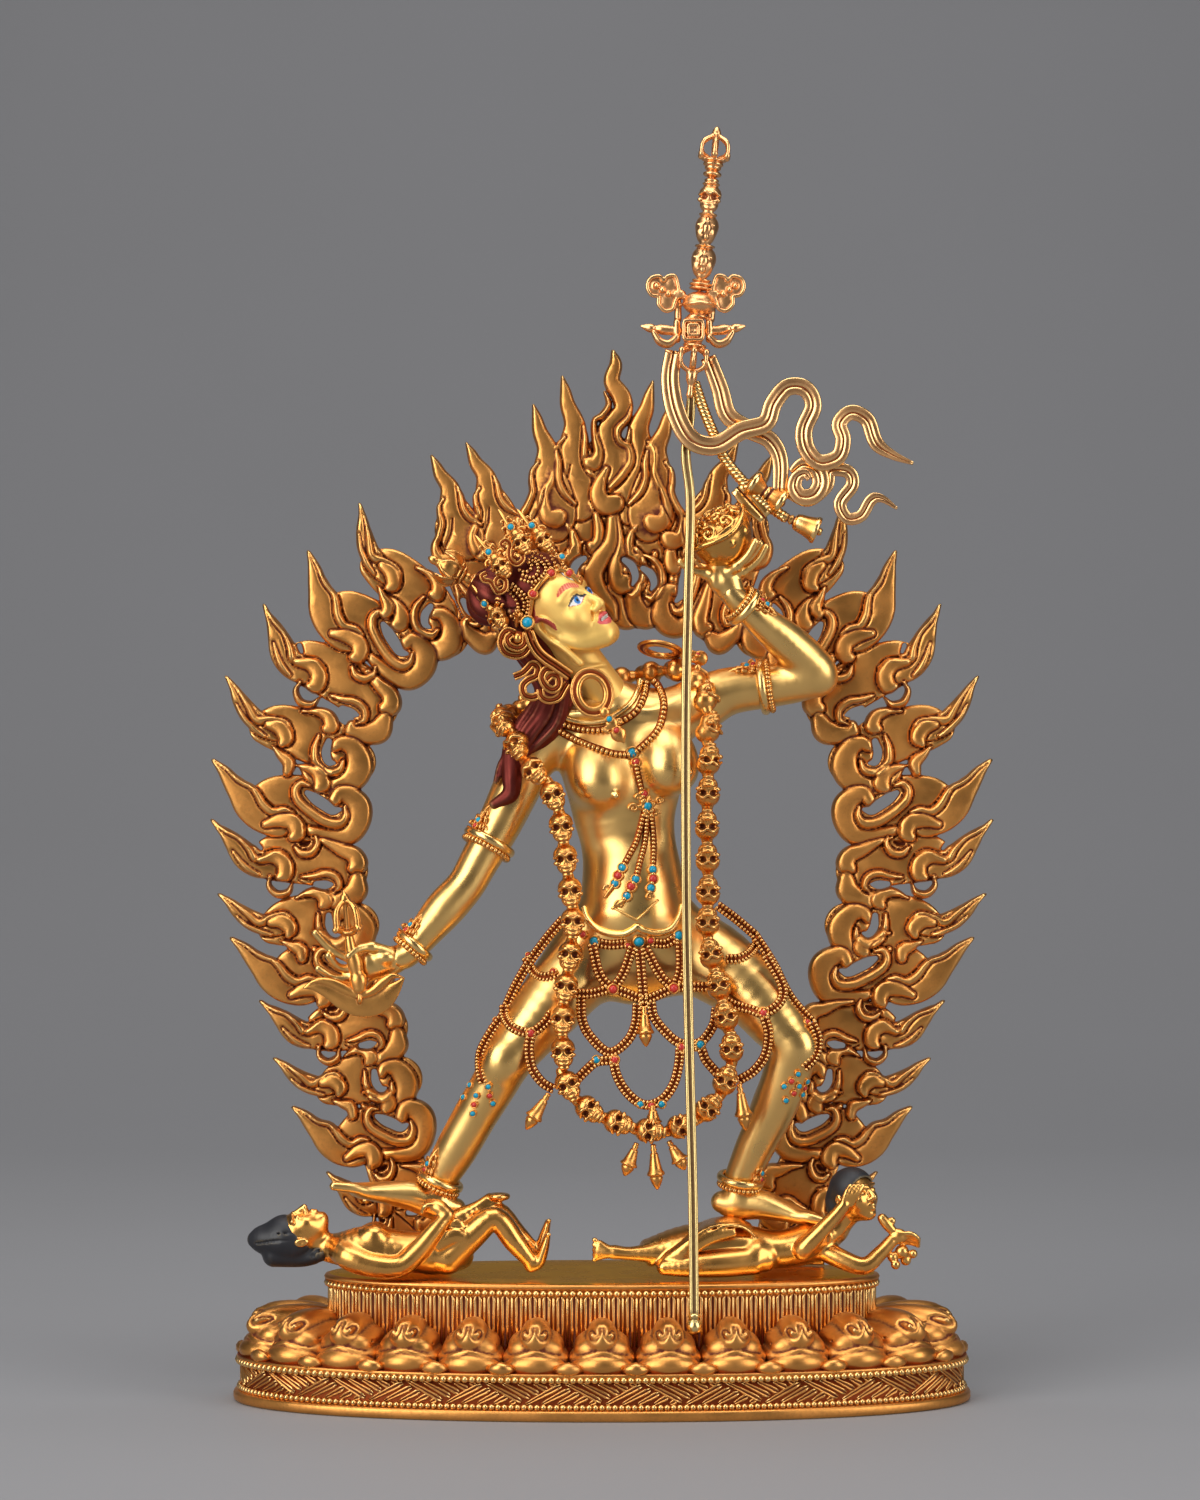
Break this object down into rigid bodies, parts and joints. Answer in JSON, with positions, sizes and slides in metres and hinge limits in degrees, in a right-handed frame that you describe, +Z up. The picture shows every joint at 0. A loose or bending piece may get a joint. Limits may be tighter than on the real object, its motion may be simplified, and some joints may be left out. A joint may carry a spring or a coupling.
{
  "type": "vajrayogini statue",
  "caption": "Gilded metal statue of a striding goddess with raised skull cup, staff and knife, on an oval lotus base before a pierced flame aureole",
  "frame": {"origin": "centre of the base's flat underside", "axes": "+X to the viewer's right, +Y back, +Z up; the figure is seen from -Y"},
  "size_m": [0.2452, 0.098, 0.3904],
  "materials": {
    "polished_gilding": "polished mercury gilding",
    "satin_gilding": "satin gilding with red-brown patina in the hollows",
    "warm_gilding": "polished gilding, warmer",
    "shaded_gilding": "gilding with dark patina in the hollows"
  },
  "bodies": {
    "root": {"lotus_base": "satin_gilding", "flame_aureole": "satin_gilding", "figure": "polished_gilding", "trampled_figure_left": "warm_gilding", "trampled_figure_right": "warm_gilding", "khatvanga_staff": "polished_gilding", "skull_cup": "polished_gilding", "curved_knife": "polished_gilding", "skull_garland": "shaded_gilding", "bone_apron": "shaded_gilding", "crown": "shaded_gilding", "hair_jewel": "polished_gilding", "earring_right": "polished_gilding", "earring_left": "polished_gilding", "armlet_right": "shaded_gilding", "armlet_left": "shaded_gilding", "bracelet_right": "shaded_gilding", "bracelet_left": "shaded_gilding", "anklet_right": "shaded_gilding", "anklet_left": "shaded_gilding"}
  },
  "joints": []
}
